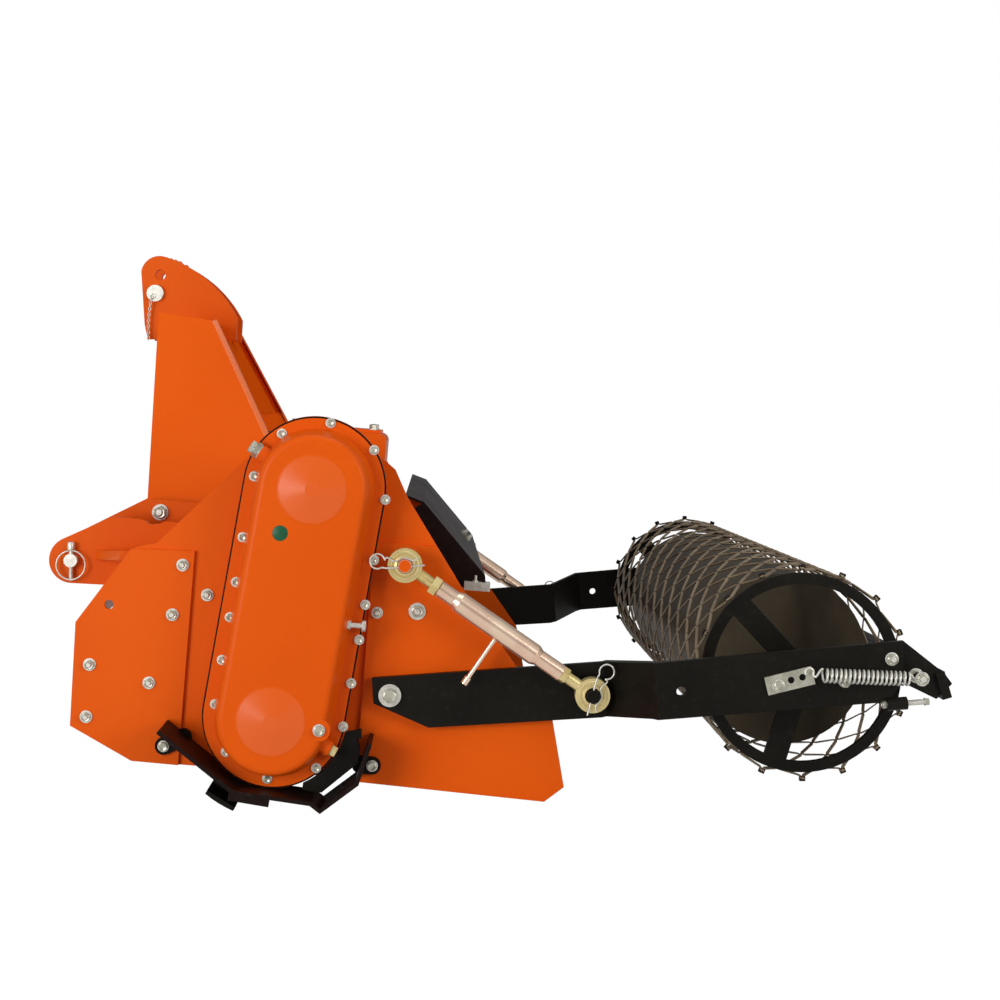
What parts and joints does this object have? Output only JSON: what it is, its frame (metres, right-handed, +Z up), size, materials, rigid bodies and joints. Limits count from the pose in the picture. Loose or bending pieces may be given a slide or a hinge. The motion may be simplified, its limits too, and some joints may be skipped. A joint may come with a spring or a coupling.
{
  "type": "stone burier",
  "caption": "Tractor-mounted reverse-tine stone burier with side chain drive, rotor hood, comb and rear mesh roller on adjustable arms",
  "frame": {"origin": "centre of the bounding box at floor level, as parked", "axes": "+Z up, +X to the rear, +Y to the machine's right-hand side"},
  "size_m": [1.3782, 1.435, 0.9565],
  "materials": {
    "orange": "gloss powder coat",
    "black_paint": "satin powder coat",
    "dark_paint": "satin, dark red-brown",
    "cast": "painted cast iron",
    "zinc": "bright zinc plate",
    "yellow_zinc": "yellow chromate zinc",
    "bare_steel": "machined steel, oiled",
    "mesh_steel": "dull olive-brown expanded mesh",
    "black_plastic": "moulded guard"
  },
  "bodies": {
    "main_frame": {"bearing_housing": "cast", "bonnet": "dark_paint", "bonnet_brackets": "orange", "brace_tube": "orange", "chain_case": "orange", "chain_cover": "orange", "comb": "black_paint", "drive_tube": "orange", "front_beam": "orange", "front_panel_left": "orange", "front_panel_right": "orange", "gearbox": "orange", "gearbox_bed": "orange", "guard_strap": "dark_paint", "hitch_lugs_left": "orange", "hitch_lugs_right": "orange", "hood": "orange", "linkage_pins": "zinc", "mast_back": "orange", "mast_head": "orange", "mast_plate_left": "orange", "mast_plate_right": "orange", "pivot_pins": "zinc", "pto_guard": "black_plastic", "rear_beam": "orange", "rear_panel_left": "orange", "rear_panel_right": "orange", "side_plate_left": "orange", "side_plate_right": "orange"},
    "input": {"input_shaft": "bare_steel"},
    "rotor_body": {"rotor": "black_paint"},
    "roller_frame": {"arm_left": "black_paint", "arm_right": "black_paint", "roller_bearings": "cast", "spring_anchors": "zinc", "spring_left": "zinc", "spring_right": "zinc"},
    "roller": {"roller_drum": "black_paint", "roller_ends": "black_paint", "roller_mesh": "mesh_steel"},
    "scraper_bar": {"scraper": "black_paint"},
    "turnbuckle_l": {"turnbuckle_left": "yellow_zinc"},
    "turnbuckle_r": {"turnbuckle_right": "yellow_zinc"},
    "link_rod_l": {"turnbuckle_rod_left": "yellow_zinc"},
    "link_rod_r": {"turnbuckle_rod_right": "yellow_zinc"}
  },
  "joints": [
    {"name": "input_spin", "type": "hinge", "parent": "main_frame", "child": "input", "pos_m": [-0.36131, 0, 0.54408], "axis": [-0.9845, 0, 0.1754], "continuous": true},
    {"name": "rotor_spin", "type": "hinge", "parent": "main_frame", "child": "rotor_body", "pos_m": [-0.32459, 0, 0.18], "axis": [0, -1, 0], "continuous": true},
    {"name": "arm_lift", "type": "hinge", "parent": "main_frame", "child": "roller_frame", "pos_m": [-0.14592, 0, 0.19084], "axis": [0, -1, 0], "range_deg": [-12, 5]},
    {"name": "roller_spin", "type": "hinge", "parent": "roller_frame", "child": "roller", "pos_m": [0.48565, 0, 0.1663], "axis": [0, -1, 0], "continuous": true},
    {"name": "scraper_swing", "type": "hinge", "parent": "roller_frame", "child": "scraper_bar", "pos_m": [0.60035, 0, 0.19013], "axis": [0, -1, 0], "range_deg": [0, 20]},
    {"name": "link_turn_l", "type": "hinge", "parent": "main_frame", "child": "turnbuckle_l", "pos_m": [-0.10227, -0.602, 0.39027], "axis": [0, -1, 0], "range_deg": [-12, 8]},
    {"name": "link_slide_l", "type": "slide", "parent": "turnbuckle_l", "child": "link_rod_l", "axis": [0.762, 0, -0.6476], "range_m": [-0.02, 0.045]},
    {"name": "link_turn_r", "type": "hinge", "parent": "main_frame", "child": "turnbuckle_r", "pos_m": [-0.10227, 0.602, 0.39027], "axis": [0, -1, 0], "range_deg": [-12, 8]},
    {"name": "link_slide_r", "type": "slide", "parent": "turnbuckle_r", "child": "link_rod_r", "axis": [0.762, 0, -0.6476], "range_m": [-0.02, 0.045]}
  ],
  "couplings": [
    {"joint": "input_spin", "follows": "rotor_spin", "ratio": 2.5},
    {"joint": "link_turn_l", "follows": "arm_lift", "ratio": 0.71},
    {"joint": "link_slide_l", "follows": "arm_lift", "m_per_rad": -0.176},
    {"joint": "link_turn_r", "follows": "arm_lift", "ratio": 0.71},
    {"joint": "link_slide_r", "follows": "arm_lift", "m_per_rad": -0.176}
  ]
}
